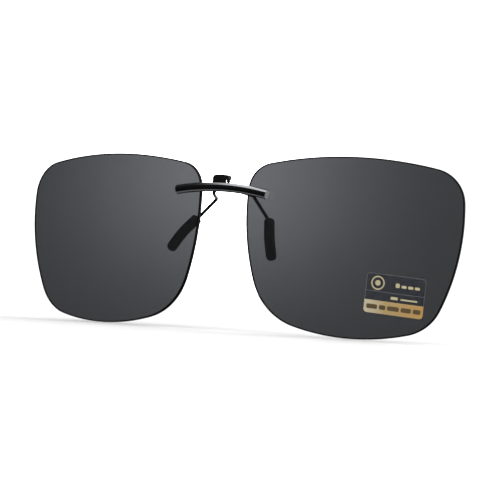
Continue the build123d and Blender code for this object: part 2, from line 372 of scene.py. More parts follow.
def rounded_route(corners: Sequence[Sequence[float]], radii: Sequence[float], steps: int = 14) -> list[Vector]:
    """Rounds the inner corners of a straight-sided route.

    Args:
        corners: the route's corners, ends included.
        radii: the bend radius at each inner corner.
        steps: points along each bend.

    Returns:
        Points along the rounded route.
    """
    route = [Vector(p) for p in corners]
    points = [route[0]]
    for before, corner, after, radius in zip(route, route[1:], route[2:], radii):
        to_before, to_after = (before - corner).normalized(), (after - corner).normalized()
        half = to_before.angle(to_after) / 2
        reach = radius / math.tan(half)
        middle = corner + (to_before + to_after).normalized() * radius / math.sin(half)
        first, last = corner + to_before * reach - middle, corner + to_after * reach - middle
        turn = first.rotation_difference(last)
        for step in range(steps + 1):
            points.append(middle + Matrix.Rotation(turn.angle * step / steps, 3, turn.axis) @ first)
    points.append(route[-1])
    return points


def with_length(points: Sequence[Vector], spacing: float) -> list[Vector]:
    """Divides the long runs of a route so that no step is longer than the spacing.

    Args:
        points: the route's points.
        spacing: the longest step.

    Returns:
        The route with points added on its long runs.
    """
    filled = [points[0]]
    for start, end in zip(points, points[1:]):
        pieces = max(1, math.ceil((end - start).length / spacing))
        filled += [start.lerp(end, k / pieces) for k in range(1, pieces + 1)]
    return filled


def ring_faces(rings: int, sides: int, first: int = 0) -> Faces:
    """Joins rings of points, one after the other, with four-sided faces.

    Args:
        rings: how many rings there are.
        sides: points in each ring.
        first: the number of the first ring's first point.

    Returns:
        The faces.
    """
    starts = [(first + row * sides, k) for row in range(rings - 1) for k in range(sides)]
    return [[a + k, a + (k + 1) % sides, a + sides + (k + 1) % sides, a + sides + k] for a, k in starts]


def prism(near: Sequence[Vector], far: Sequence[Vector]) -> Solid:
    """Joins two matching outlines into a closed solid.

    Args:
        near: one end's outline.
        far: the other end's, point for point.

    Returns:
        Points and faces.
    """
    count = len(near)
    return [*near, *far], [*ring_faces(2, count), list(range(count)), list(range(count, 2 * count))]


def swept(
    route: Sequence[Vector], radius: float, end_rounding: Pair, sides: int = 40, ridge: float = 0.0
) -> Solid:
    """Sweeps a round section along a route and rounds both its ends.

    Args:
        route: points along the route.
        radius: the section's radius.
        end_rounding: the edge radius at the start and at the end.
        sides: points round the section.
        ridge: height of a moulding flash line along both sides.

    Returns:
        Points and faces of the closed solid.
    """
    turns = [math.pi / 2 * step / HEAD_STEPS for step in range(HEAD_STEPS + 1)]

    def head(tip: Vector, inward: Vector, way: Vector, rounding: float) -> list[tuple[Vector, Vector, float]]:
        """Rings of one rounded end, from the full section out to the tip."""
        return [
            (tip + inward * rounding * (1 - math.sin(a)), way, radius - rounding * (1 - math.cos(a)))
            for a in turns
        ]

    start, end = route[0], route[-1]
    way, last_way = (route[1] - start).normalized(), (end - route[-2]).normalized()
    inner = [
        p for p in route[1:-1] if (p - start).length > end_rounding[0] and (p - end).length > end_rounding[1]
    ]
    line = [start, *inner, end]
    rings = head(start, way, way, end_rounding[0])[::-1]
    rings += [(p, (after - before).normalized(), radius) for before, p, after in zip(line, line[1:], line[2:])]
    rings += head(end, -last_way, last_way, end_rounding[1])
    points: list[Vector] = []
    across = way.orthogonal().normalized()
    for centre, way, ring_radius in rings:
        across = (across - way * across.dot(way)).normalized()
        other = way.cross(across)
        for k in range(sides):
            angle = 2 * math.pi * k / sides
            seam = ridge * max(0.0, abs(math.cos(angle)) - FLASH_SHARE) / (1 - FLASH_SHARE)
            points.append(centre + (across * math.cos(angle) + other * math.sin(angle)) * (ring_radius + seam))
    faces = ring_faces(len(rings), sides)
    for centre, first in ((rings[0][0], 0), (rings[-1][0], len(points) - sides)):
        points.append(centre)
        hub = len(points) - 1
        faces += [[hub, first + k, first + (k + 1) % sides] for k in range(sides)]
    return points, faces


def joined(*parts: tuple[Sequence[Vector], Sequence[Sequence[int]]]) -> Solid:
    """Puts several sets of points and faces into one.

    Args:
        *parts: points and faces of each.

    Returns:
        Points and faces of them all.
    """
    points: list[Vector] = []
    faces: list[list[int]] = []
    for more_points, more_faces in parts:
        base = len(points)
        points += more_points
        faces += [[base + v for v in face] for face in more_faces]
    return points, faces


def cut_or_add(piece: Piece, tool: Piece, operation: str) -> Mesh:
    """Applies a Boolean of one solid on another and takes both away.

    Args:
        piece: the solid that is worked on.
        tool: the solid that cuts it or is added to it.
        operation: DIFFERENCE or UNION.

    Returns:
        The resulting mesh.
    """
    boolean = piece.modifiers.new("boolean", "BOOLEAN")
    boolean.operation = operation
    boolean.object = tool
    boolean.solver = "EXACT"
    boolean.material_mode = "TRANSFER"
    bpy.context.view_layer.update()
    mesh = evaluated(piece)
    bpy.data.objects.remove(tool)
    return mesh


def grown(name: str, tree: Tree, inputs: dict[str, object], seed: Mesh | None = None) -> Mesh:
    """Runs a Geometry Nodes tree with its named inputs and gives the plain mesh.

    Args:
        name: a name for the work object.
        tree: the tree.
        inputs: the tree's inputs by name.
        seed: the mesh that the tree starts from, if it needs one.

    Returns:
        The mesh that the tree makes.
    """
    base = bpy.data.objects.new(name, seed or bpy.data.meshes.new(name))
    bpy.context.scene.collection.objects.link(base)
    nodes = base.modifiers.new("grow", "NODES")
    nodes.node_group = tree
    for item in tree.interface.items_tree:
        if item.item_type == "SOCKET" and item.in_out == "INPUT" and item.name in inputs:
            nodes[item.identifier] = inputs[item.name]
    bpy.context.view_layer.update()
    return evaluated(base)


def new_tree(name: str, sockets: dict[str, str]) -> tuple[Tree, Node, Node]:
    """Starts a Geometry Nodes tree with named inputs and one geometry output.

    Args:
        name: the tree's name.
        sockets: each input's name and socket type.

    Returns:
        The tree, its input node and its output node.
    """
    tree = bpy.data.node_groups.new(name, "GeometryNodeTree")
    tree.interface.new_socket("Geometry", in_out="INPUT", socket_type="NodeSocketGeometry")
    for label, kind in sockets.items():
        tree.interface.new_socket(label, in_out="INPUT", socket_type=kind)
    tree.interface.new_socket("Geometry", in_out="OUTPUT", socket_type="NodeSocketGeometry")
    return tree, tree.nodes.new("NodeGroupInput"), tree.nodes.new("NodeGroupOutput")


def end_tree(tree: Tree, geometry: Socket, material: object, output: Node) -> None:
    """Ends a tree in Realize Instances and Set Material.

    Args:
        tree: the tree.
        geometry: what the tree has made.
        material: the material, or the socket that gives it.
        output: the tree's output node.
    """
    real = add_node(tree, "GeometryNodeRealizeInstances", Geometry=geometry)
    smooth = add_node(tree, "GeometryNodeSetShadeSmooth", Geometry=real.outputs[0])
    dressed = add_node(tree, "GeometryNodeSetMaterial", Geometry=smooth.outputs[0], Material=material)
    tree.links.new(dressed.outputs[0], output.inputs[0])


def dress_node(node: str, finish: Finish) -> None:
    """Gives a carried-over CAD node its finish.

    Args:
        node: the CAD node's name.
        finish: the finish.
    """
    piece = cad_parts[node]
    for slot in piece.material_slots:
        slot.material = finish.material()
    LOG.info("%s dressed in %s", node, finish.name)


# ---------------- front


@dataclass
class Lens:
    """A spherical lens blank cut to the outline that four large arcs share."""

    side: Side
    curve: float = 265.0
    thickness: float = 1.0
    centre: Triple = (37.26, 0.5, 3.2)
    wrap: float = 6.5
    rim_chamfer: float = 0.15
    ink_width: float = 0.2
    rim_reach: float = 0.24
    arcs: tuple[Triple, ...] = (
        (-1.7, -91.9, 114.65), (-25.3, 7.5, 55.3), (1.9, 38.6, 63.0), (35.7, 9.5, 65.75)
    )
    corners: tuple[tuple[int, int, float], ...] = ((1, 1, 9.6), (1, -1, 12.3), (-1, -1, 17.4), (-1, 1, 7.5))
    bore: float = 0.65
    bore_reach: float = 4.0
    point_spacing: float = 0.6
    rings: int = 26

    def corner_centre(self, number: int) -> Vector:
        """Finds the centre of a corner's rounding.

        Args:
            number: the corner, between arc number and the next one.

        Returns:
            The centre in the lens plane.
        """
        out, up, rounding = self.corners[number]
        (x1, y1, r1), (x2, y2, r2) = self.arcs[number], self.arcs[(number + 1) % len(self.arcs)]
        first, second = Vector((x1, y1)), Vector((x2, y2))
        r1, r2 = r1 - rounding, r2 - rounding
        gap = second - first
        along = (gap.length_squared + r1 * r1 - r2 * r2) / (2 * gap.length)
        across = math.sqrt(r1 * r1 - along * along)
        foot = first + gap.normalized() * along
        side_way = Vector((-gap.y, gap.x)).normalized() * across
        return max(foot + side_way, foot - side_way, key=lambda p: p.x * out + p.y * up)

    def outline(self) -> list[Vector]:
        """Walks round the lens through its arcs and rounded corners.

        Returns:
            Points in the lens plane, X outward and Y up.
        """
        middles = [self.corner_centre(number) for number in range(len(self.arcs))]
        points: list[Vector] = []
        for number, (out, up, rounding) in enumerate(self.corners):
            after = (number + 1) % len(self.arcs)
            spans = []
            for arc in (number, after):
                hub = Vector(self.arcs[arc][:2])
                spans.append(hub + (middles[number] - hub).normalized() * self.arcs[arc][2])
            points += self.arc(middles[number], spans[0], spans[1])
            hub = Vector(self.arcs[after][:2])
            next_start = hub + (middles[after] - hub).normalized() * self.arcs[after][2]
            points += self.arc(hub, spans[1], next_start)
        return points

    def arc(self, hub: Vector, start: Vector, end: Vector) -> list[Vector]:
        """Divides an arc, end point left out.

        Args:
            hub: its centre.
            start: its first point.
            end: its last point.

        Returns:
            Points from the start.
        """
        radius = (start - hub).length
        first = math.atan2(start.y - hub.y, start.x - hub.x)
        sweep = (math.atan2(end.y - hub.y, end.x - hub.x) - first + math.pi) % (2 * math.pi) - math.pi
        steps = max(3, round(abs(sweep) * radius / self.point_spacing))
        angles = [first + sweep * k / steps for k in range(steps)]
        return [hub + Vector((math.cos(a), math.sin(a))) * radius for a in angles]

    def place(self, out: float, up: float, height: float) -> Vector:
        """Puts a point of the lens in the row frame.

        Args:
            out: distance outward in the lens plane.
            up: distance up.
            height: height above the front surface, along the lens plane's normal.

        Returns:
            The point, in mm.
        """
        turn = math.radians(self.wrap)
        radius = self.curve + height
        lift = math.sqrt(radius * radius - out * out - up * up) - self.curve
        x = self.centre[0] + out * math.cos(turn) + lift * math.sin(turn)
        y = self.centre[1] + out * math.sin(turn) - lift * math.cos(turn)
        return Vector((self.side.value * x, y, self.centre[2] + up))

    def build(self) -> Piece:
        """Builds the lens with its two drilled holes.

        Returns:
            The lens, riding on the front.
        """
        rim = self.outline()
        count = len(rim)
        ways = [(rim[(k + 1) % count] - rim[k - 1]).normalized() for k in range(count)]
        inward = [Vector((w.y, -w.x)) for w in ways]
        if inward[0].dot(rim[0]) > 0:
            inward = [-v for v in inward]
        inset = [p + n * self.rim_chamfer for p, n in zip(rim, inward)]
        clear = [p + n * (self.rim_chamfer + self.ink_width) for p, n in zip(rim, inward)]
        face = [[p * (k / self.rings) for p in clear] for k in range(1, self.rings + 1)] + [inset]
        levels = [(0.0, ring) for ring in face]
        levels += [(-self.rim_chamfer, rim), (self.rim_chamfer - self.thickness, rim)]
        levels += [(-self.thickness, ring) for ring in reversed(face)]
        points = [self.place(p.x, p.y, height) for height, ring in levels for p in ring]
        faces = ring_faces(len(levels), count)
        last = (len(levels) - 1) * count
        for hub, base in ((self.place(0, 0, 0), 0), (self.place(0, 0, -self.thickness), last)):
            points.append(hub)
            faces += [[len(points) - 1, base + k, base + (k + 1) % count] for k in range(count)]
        laminate = bpy.data.materials.get(PolarisedLaminate.name) or PolarisedLaminate().material()
        blank = new_piece("blank", points, faces, laminate, INKED_EDGE.material())
        on_rim = [self.is_rim(vertex.co, inset) for vertex in blank.data.vertices]
        for polygon in blank.data.polygons:
            polygon.material_index = int(all(on_rim[v] for v in polygon.vertices))
        drills = [
            swept([Vector((x, y, z)) for y in (-self.bore_reach, 0, self.bore_reach)], self.bore, (0, 0))
            for x, z in Fixings.places(self.side)
        ]
        tool = new_piece("drills", *joined(*drills), INKED_EDGE.material())
        mesh = cut_or_add(blank, tool, "DIFFERENCE")
        lens = finish_piece(f"tinted_lens_{self.side.word}", mesh, sharp_above=25)
        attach(lens, FRONT_BODY)
        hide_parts(f"lens_{self.side.word}")
        return lens

    def is_rim(self, point: Vector, inset: Sequence[Vector]) -> bool:
        """Says whether a point of the blank lies on its rim.

        Args:
            point: the point, in metres.
            inset: the outline where the rim's chamfer starts.

        Returns:
            True on the rim.
        """
        turn = math.radians(self.wrap)
        x = self.side.value * point.x / MM - self.centre[0]
        y = point.y / MM - self.centre[1]
        flat = Vector((x * math.cos(turn) + y * math.sin(turn), point.z / MM - self.centre[2]))
        return min((flat - p).length for p in inset) < self.rim_reach


@dataclass
class BridgeBar:
    """The round bar, bent to a shallow arch, that carries both lenses."""

    radius: float = 1.25
    half: float = 13.95
    shift_x: float = 0.2
    y: float = -2.48
    middle_z: float = 16.95
    bend: float = 73.2
    lean: float = math.radians(1.5)
    end_chamfer: float = 0.12
    end_depth: float = 0.3
    steps: int = 96
    sides: int = 72
    end_facing: float = 0.9

    def axis_z(self, x: float) -> float:
        """Height of the bar's axis at x, on its leaning arc."""
        hub_x = -self.bend * math.sin(self.lean)
        hub_z = self.middle_z - self.bend * math.cos(self.lean)
        return hub_z + math.sqrt(self.bend**2 - (x - hub_x) ** 2)

    def build(self) -> Piece:
        """Builds the bar.

        Returns:
            The bar, riding on the front.
        """
        places = [self.shift_x + self.half * (2 * k / self.steps - 1) for k in range(self.steps + 1)]
        route = [Vector((x, self.y, self.axis_z(x))) for x in places]
        points, faces = swept(route, self.radius, (self.end_chamfer, self.end_chamfer), self.sides)
        bar = new_piece(
            "bridge_bar_plated", points, faces, BLACK_NICKEL.material(), PALE_END_PAINTED_REFLECTION.material(), sharp_above=50
        )
        # End faces take the pale grey material: a painted reflection of the light that the ends catch
        for face in bar.data.polygons:
            at_end = abs(face.center.x - self.shift_x * MM) > (self.half - self.end_depth) * MM
            face.material_index = int(at_end and abs(face.normal.x) > self.end_facing)
        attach(bar, FRONT_BODY)
        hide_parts("bridge_bar")
        return bar


@dataclass
class Fixings:
    """Four sets of stud, bush, washer and nut between the bar and the lenses."""

    stud_x: Pair = (8.7, 11.2)
    stud_radius: float = 0.4
    stud_front: float = -1.6
    stud_back: float = 1.15
    thread_front: float = -0.2
    thread_pitch: float = 0.2
    thread_depth: float = 0.05
    nut_front: float = 0.42
    nut_height: float = 0.6
    nut_across_corners: float = 1.8
    nut_face: float = 0.96
    nut_chamfer: float = 0.08
    last_thread: float = 0.05
    stud_sides: int = 24
    nut_sides: int = 48

    @staticmethod
    def places(*sides: Side) -> list[Pair]:
        """X and height of each stud on the sides asked for."""
        bar = BridgeBar()
        return [(side.value * x, bar.axis_z(side.value * x)) for side in sides for x in Fixings.stud_x]

    def spread(self, name: str, pattern: Piece, finish: Finish) -> Mesh:
        """Copies a pattern piece to the four stud places.

        Args:
            name: the tree's name.
            pattern: the piece made about the Y axis; it is taken away afterwards.
            finish: its finish.

        Returns:
            One mesh of the four copies.
        """
        tree, given, output = new_tree(name, {"Pattern": "NodeSocketObject", "Finish": "NodeSocketMaterial"})
        model = add_node(tree, "GeometryNodeObjectInfo", Object=given.outputs["Pattern"])
        copies = add_node(
            tree, "GeometryNodeInstanceOnPoints", Points=given.outputs["Geometry"],
            Instance=model.outputs["Geometry"],
        )
        end_tree(tree, copies.outputs[0], given.outputs["Finish"], output)
        seeds = bpy.data.meshes.new(name)
        seeds.from_pydata([Vector((x, 0, z)) * MM for x, z in self.places(Side.LEFT, Side.RIGHT)], [], [])
        mesh = grown(name, tree, {"Pattern": pattern, "Finish": finish.material()}, seeds)
        bpy.data.objects.remove(pattern)
        return mesh

    def stud_pattern(self) -> Piece:
        """Makes one stud about the Y axis: a plain shank and a rolled thread.

        Returns:
            The pattern piece.
        """
        rows: list[Pair] = [(self.stud_front, 0.0), (self.stud_front, self.stud_radius)]
        y = self.thread_front
        rows.append((y, self.stud_radius))
        while y + self.thread_pitch < self.stud_back - self.last_thread:
            rows.append((y + self.thread_pitch / 2, self.stud_radius - self.thread_depth))
            rows.append((y + self.thread_pitch, self.stud_radius))
            y += self.thread_pitch
        rows += [(self.stud_back, self.stud_radius - 2 * self.thread_depth), (self.stud_back, 0.0)]
        return new_piece("stud_pattern", *turned(rows, self.stud_sides), STAINLESS.material())

    def nut_pattern(self) -> Piece:
        """Makes one hexagon nut about the Y axis, with its corners chamfered.

        Returns:
            The pattern piece.
        """
        half = self.nut_height / 2
        corner = self.nut_across_corners / 2
        flat = corner * math.cos(math.pi / 6)
        sides, face, edge = self.nut_sides, flat * self.nut_face, half - self.nut_chamfer
        points: list[Vector] = []
        levels = ((-half, face), (-edge, corner), (edge, corner), (half, face))
        for y, limit in levels:
            for k in range(sides):
                angle = 2 * math.pi * k / sides
                across = flat / math.cos((angle + math.pi / 6) % (math.pi / 3) - math.pi / 6)
                reach = min(across, limit)
                points.append(
                    Vector((reach * math.cos(angle), self.nut_front + half + y, reach * math.sin(angle)))
                )
        bore = [
            Vector((self.stud_radius * math.cos(a), self.nut_front + y, self.stud_radius * math.sin(a)))
            for y in (0, self.nut_height)
            for a in (2 * math.pi * k / sides for k in range(sides))
        ]
        base, top = len(points), (len(levels) - 1) * sides
        faces = ring_faces(len(levels), sides) + ring_faces(2, sides, base)
        for k in range(sides):
            beside = (k + 1) % sides
            faces.append([k, beside, base + beside, base + k])
            faces.append([top + k, top + beside, base + sides + beside, base + sides + k])
        return new_piece("nut_pattern", points + bore, faces, STAINLESS.material(), sharp_above=25)

    def build(self) -> list[Piece]:
        """Builds the studs and nuts and dresses the bushes and washers.

        Returns:
            The studs and the nuts.
        """
        made = []
        for name, pattern, node in (
            ("threaded_studs", self.stud_pattern(), "lens_studs"),
            ("hexagon_nuts", self.nut_pattern(), "lens_nuts"),
        ):
            piece = finish_piece(name, self.spread(name, pattern, STAINLESS), sharp_above=25)
            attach(piece, FRONT_BODY)
            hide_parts(node)
            made.append(piece)
        dress_node("lens_bushes", CLEAR_NYLON)
        dress_node("lens_washers", CLEAR_NYLON)
        return made


def turned(rows: Sequence[Pair], sides: int) -> Solid:
    """Turns a profile about the Y axis.

    Args:
        rows: places along Y and radii; the first and last radius are zero.
        sides: points round the axis.

    Returns:
        Points and faces of the closed solid.
    """
    ways = [(math.cos(a), math.sin(a)) for a in (2 * math.pi * k / sides for k in range(sides))]
    points = [Vector((radius * x, y, radius * z)) for y, radius in rows for x, z in ways]
    return points, ring_faces(len(rows), sides)


@dataclass
class Label:
    """A clear film on the right lens with a gold band and plain printed marks."""

    lens: Lens
    centre: Pair = (13.05, -12.6)
    width: float = 15.75
    height: float = 10.2
    turn: float = -4.4
    corner: float = 0.9
    film: float = 0.08
    print_height: float = 0.04
    band: float = 3.3
    row_line: float = 0.53
    line_width: float = 0.1
    cell: float = 0.25
    fill_rings: int = 12
    gap: float = 0.001
    sun: Pair = (-4.75, 2.7)
    sun_radii: Triple = (1.8, 1.46, 0.72)
    bars: tuple[tuple[float, ...], ...] = (
        (0.55, 2.6, 1.1, 1.15), (2.25, 2.45, 1.3, 0.7), (4.0, 2.45, 1.3, 0.7), (5.75, 2.45, 1.3, 0.7),
        (0.0, -0.75, 1.9, 0.75), (3.9, -0.85, 4.4, 0.42),
    )
    dark_widths: tuple[float, ...] = (2.9, 1.7, 3.1, 2.7, 2.0)
    dark_height: float = 1.15
    dark_start: float = 0.7
    dark_gap: float = 0.5
    dark_ink: float = 0.02
    line_share: float = 0.9
    line_margin: float = 0.3

    def at(self, x: float, y: float, height: float) -> Vector:
        """A label point, by its own X and Y, in the row frame."""
        turn = math.radians(self.turn)
        out = self.centre[0] + x * math.cos(turn) - y * math.sin(turn)
        up = self.centre[1] + x * math.sin(turn) + y * math.cos(turn)
        return self.lens.place(out, up, height)

    def rounded(self, half_x: float, half_y: float, corner: float, middle: Sequence[float]) -> list[Vector]:
        """Walks round a rounded rectangle.

        Args:
            half_x: half its width.
            half_y: half its height.
            corner: its corner radius.
            middle: its middle.

        Returns:
            Points on the label.
        """
        corners = []
        for number, (sx, sy) in enumerate(((1, 1), (-1, 1), (-1, -1), (1, -1))):
            hub = Vector((middle[0] + sx * (half_x - corner), middle[1] + sy * (half_y - corner), 0))
            for k in range(7):
                angle = math.pi / 2 * (number + k / 6)
                corners.append(hub + Vector((math.cos(angle), math.sin(angle), 0)) * corner)
        return [p.to_2d() for p in with_length([*corners, corners[0]], self.cell)[:-1]]

    def slab(self, loops: Sequence[Sequence[Vector]], low: float, high: float) -> Solid:
        """Raises a flat shape between two heights above the lens.

        Args:
            loops: an outer outline, and a hole's outline with as many points if there is one.
            low: the lower height.
            high: the upper height.

        Returns:
            Points and faces of the closed solid.
        """
        count = len(loops[0])
        inner = loops[1] if len(loops) > 1 else None
        points: list[Vector] = []
        rings = 1 if inner else self.fill_rings
        middle = sum(loops[0], Vector((0, 0))) / count
        for height in (low, high):
            for k in range(rings + 1):
                share = k / rings
                for n, p in enumerate(loops[0]):
                    target = inner[n] if inner else middle
                    q = p.lerp(target, share)
                    points.append(self.at(q.x, q.y, height))
        layer = (rings + 1) * count
        faces = ring_faces(rings + 1, count) + ring_faces(rings + 1, count, layer)
        for start in (0, rings * count) if inner else (0,):
            for n in range(count):
                beside = (n + 1) % count
                faces.append([start + n, start + beside, layer + start + beside, layer + start + n])
        return points, faces

    def box_loop(self, x: float, y: float, width: float, height: float) -> list[Vector]:
        """A rounded bar's outline about its middle."""
        return self.rounded(width / 2, height / 2, min(width, height) * 0.3, (x, y))

    def circle(self, x: float, y: float, radius: float) -> list[Vector]:
        """A circle's outline about its middle."""
        steps = 48
        return [
            Vector((x, y)) + Vector((math.cos(a), math.sin(a))) * radius
            for a in (2 * math.pi * k / steps for k in range(steps))
        ]

    def build(self) -> list[Piece]:
        """Builds the film, the band and the print.

        Returns:
            The three pieces.
        """
        outer = self.rounded(self.width / 2, self.height / 2, self.corner, (0, 0))
        film = new_piece(
            "label_clear_film", *self.slab([outer], 2 * self.gap, self.film), CLEAR_FILM.material(),
            sharp_above=40,
        )
        band_y = -self.height / 2 + self.band / 2
        low, high = self.film + self.gap, self.film + self.print_height
        band = new_piece(
            "label_gold_band", *self.slab([self.band_loop(band_y)], low, high), GoldFoil().material(),
            sharp_above=40,
        )
        inner = self.rounded(
            self.width / 2 - self.line_width, self.height / 2 - self.line_width,
            self.corner - self.line_width, (0, 0),
        )
        row = self.box_loop(0, self.row_line, self.width - self.line_margin, self.line_width)
        parts = [self.slab(loops, low, high * self.line_share) for loops in ([outer, inner], [row])]
        line = new_piece("label_outline", *joined(*parts), GREY_INK.material())
        outside, inside, core = (self.circle(*self.sun, radius) for radius in self.sun_radii)
        marks = [self.slab([outside, inside], low, high), self.slab([core], low, high)]
        marks += [self.slab([self.box_loop(*bar)], low, high) for bar in self.bars]
        prints = new_piece("label_print_marks", *joined(*marks), GOLD_INK.material())
        x = self.dark_start - self.width / 2
        words = []
        for width in self.dark_widths:
            word = self.box_loop(x + width / 2, band_y, width, self.dark_height)
            words.append(self.slab([word], high + self.gap, high + self.dark_ink))
            x += width + self.dark_gap
        dark = new_piece("label_dark_marks", *joined(*words), BROWN_INK.material())
        for piece, node, slot in (
            (film, "label_film", "label_film"), (band, "label_band", "gold_foil"),
            (prints, "label_print", "gold_ink"), (line, None, "gold_ink"), (dark, None, "gold_ink"),
        ):
            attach(piece, FRONT_BODY)
            if node:
                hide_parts(node)
        return [film, band, line, prints, dark]

    def band_loop(self, band_y: float) -> list[Vector]:
        """The band's outline: square at its top, round where the film's corners are.

        Args:
            band_y: the height of its middle.

        Returns:
            Points on the label.
        """
        half_x, top, low = self.width / 2, band_y + self.band / 2, band_y - self.band / 2
        corners = [Vector((half_x, top, 0)), Vector((-half_x, top, 0))]
        for number, side in ((2, -1), (3, 1)):
            hub = Vector((side * (half_x - self.corner), low + self.corner, 0))
            for k in range(7):
                angle = math.pi / 2 * (number + k / 6)
                corners.append(hub + Vector((math.cos(angle), math.sin(angle), 0)) * self.corner)
        return [p.to_2d() for p in with_length([*corners, corners[0]], self.cell)[:-1]]


@dataclass(frozen=True)
class GoldFoil:
    """Gold ink over a foil base: satin, from pale cream to a warmer orange."""

    name: str = "satin_gold_foil"
    pale: str = "#ded3b4"
    middle: str = "#cbb07a"
    warm: str = "#d2a763"
    middle_at: float = 0.35
    flake_mm: float = 0.35
    flake_shade: float = 0.15
    flake_height_mm: float = 0.004
    metallic: float = 0.25
    roughness: float = 0.38
    start_mm: float = 43.0
    end_mm: float = 57.0

    def material(self) -> Material:
        """Makes the foil's material.

        Returns:
            A satin gold that warms towards the outer end.
        """
        made, tree, shader, place = new_material(self.name)
        split = add_node(tree, "ShaderNodeSeparateXYZ", Vector=place)
        along = add_node(
            tree, "ShaderNodeMapRange", Value=split.outputs["X"], From_Min=self.start_mm * MM,
            From_Max=self.end_mm * MM,
        )
        ramp = add_node(tree, "ShaderNodeValToRGB", Fac=along.outputs[0])
        ramp.color_ramp.elements[0].color = linear(self.pale)
        ramp.color_ramp.elements[1].color = linear(self.warm)
        ramp.color_ramp.elements.new(self.middle_at).color = linear(self.middle)
        flakes = noise(tree, place, self.flake_mm, 3.0)
        mixing = {"data_type": "RGBA", "blend_type": "MULTIPLY"}
        tone = add_node(tree, "ShaderNodeMix", mixing, Factor=self.flake_shade)
        tree.links.new(ramp.outputs[0], tone.inputs[6])
        tree.links.new(flakes, tone.inputs[7])
        tree.links.new(tone.outputs[2], shader.inputs["Base Color"])
        add_relief(tree, shader, flakes, self.flake_height_mm)
        shader.inputs["Metallic"].default_value = self.metallic
        shader.inputs["Roughness"].default_value = self.roughness
        return made


# ---------------- claw


@dataclass
class Spring:
    """The torsion spring: a helix on the pin, its legs in the bracket and on the lever."""

    wire: float = 0.11
    radius: float = 0.5
    turns: float = 4.72
    pitch: float = 0.26
    hook: Triple = (2.1, -0.74, 18.06)
    bracket_face_y: float = -0.9
    seat: float = 0.05
    hook_bend: float = 0.2
    end_rounding: float = 0.03
    around: int = 48
    sides: int = 14

    def coil_tree(self) -> Tree:
        """A tree that winds a spiral and gives it a round wire section.

        Returns:
            The tree.
        """
        tree, given, output = new_tree(
            "wound_spring",
            {
                "Turns": "NodeSocketFloat", "Coil radius": "NodeSocketFloat", "Length": "NodeSocketFloat",
                "Wire radius": "NodeSocketFloat", "Finish": "NodeSocketMaterial",
            },
        )
        spiral = add_node(
            tree, "GeometryNodeCurveSpiral", Resolution=self.around, Rotations=given.outputs["Turns"],
            Start_Radius=given.outputs["Coil radius"], End_Radius=given.outputs["Coil radius"],
            Height=given.outputs["Length"],
        )
        section = add_node(
            tree, "GeometryNodeCurvePrimitiveCircle", Resolution=self.sides, Radius=given.outputs["Wire radius"]
        )
        wire = add_node(
            tree, "GeometryNodeCurveToMesh", Curve=spiral.outputs[0], Profile_Curve=section.outputs[0],
            Fill_Caps=True,
        )
        end_tree(tree, wire.outputs[0], given.outputs["Finish"], output)
        return tree

    def build(self) -> Piece:
        """Builds the spring, which twists between the front and the claw.

        Returns:
            The spring.
        """
        length = self.turns * self.pitch
        coil = grown(
            "coil",
            self.coil_tree(),
            {
                "Turns": self.turns, "Coil radius": self.radius * MM, "Length": length * MM,
                "Wire radius": self.wire * MM, "Finish": MUSIC_WIRE.material(),
            },
        )
        # The spiral rises along Z from +X; laid along X it starts at the top and turns forward
        lay = Matrix(((0, 0, 1, 0), (0, 1, 0, 0), (1, 0, 0, 0), (0, 0, 0, 1)))
        left = PIVOT.x - length / 2
        coil.transform(Matrix.Translation(Vector((left, PIVOT.y, PIVOT.z)) * MM) @ lay)
        top = PIVOT.z + self.radius
        seated = Vector((left, self.bracket_face_y + self.seat, top + self.seat))
        fixed = [Vector((left, PIVOT.y, top)), seated]
        end_angle = 2 * math.pi * self.turns
        end_y = PIVOT.y + self.radius * math.sin(end_angle)
        end_z = PIVOT.z + self.radius * math.cos(end_angle)
        end = Vector((left + length, end_y, end_z))
        reach, hook_y, hook_z = self.hook
        corners = [end, (end.x, hook_y, hook_z), (CLAW_X + reach, hook_y, hook_z)]
        moving = rounded_route(corners, [self.hook_bend])
        ends = (self.end_rounding, self.end_rounding)
        legs = joined(*[swept(r, self.wire, ends, self.sides) for r in (fixed, moving)])
        work = bmesh.new()
        work.from_mesh(coil)
        legs_mesh = bpy.data.meshes.new("legs")
        legs_mesh.from_pydata([p * MM for p in legs[0]], [], legs[1])
        work.from_mesh(legs_mesh)
        work.to_mesh(coil)
        work.free()
        spring = finish_piece("torsion_spring_wound", coil, MUSIC_WIRE.material(), sharp_above=60)
        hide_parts("torsion_spring")
        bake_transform(spring)
        return spring


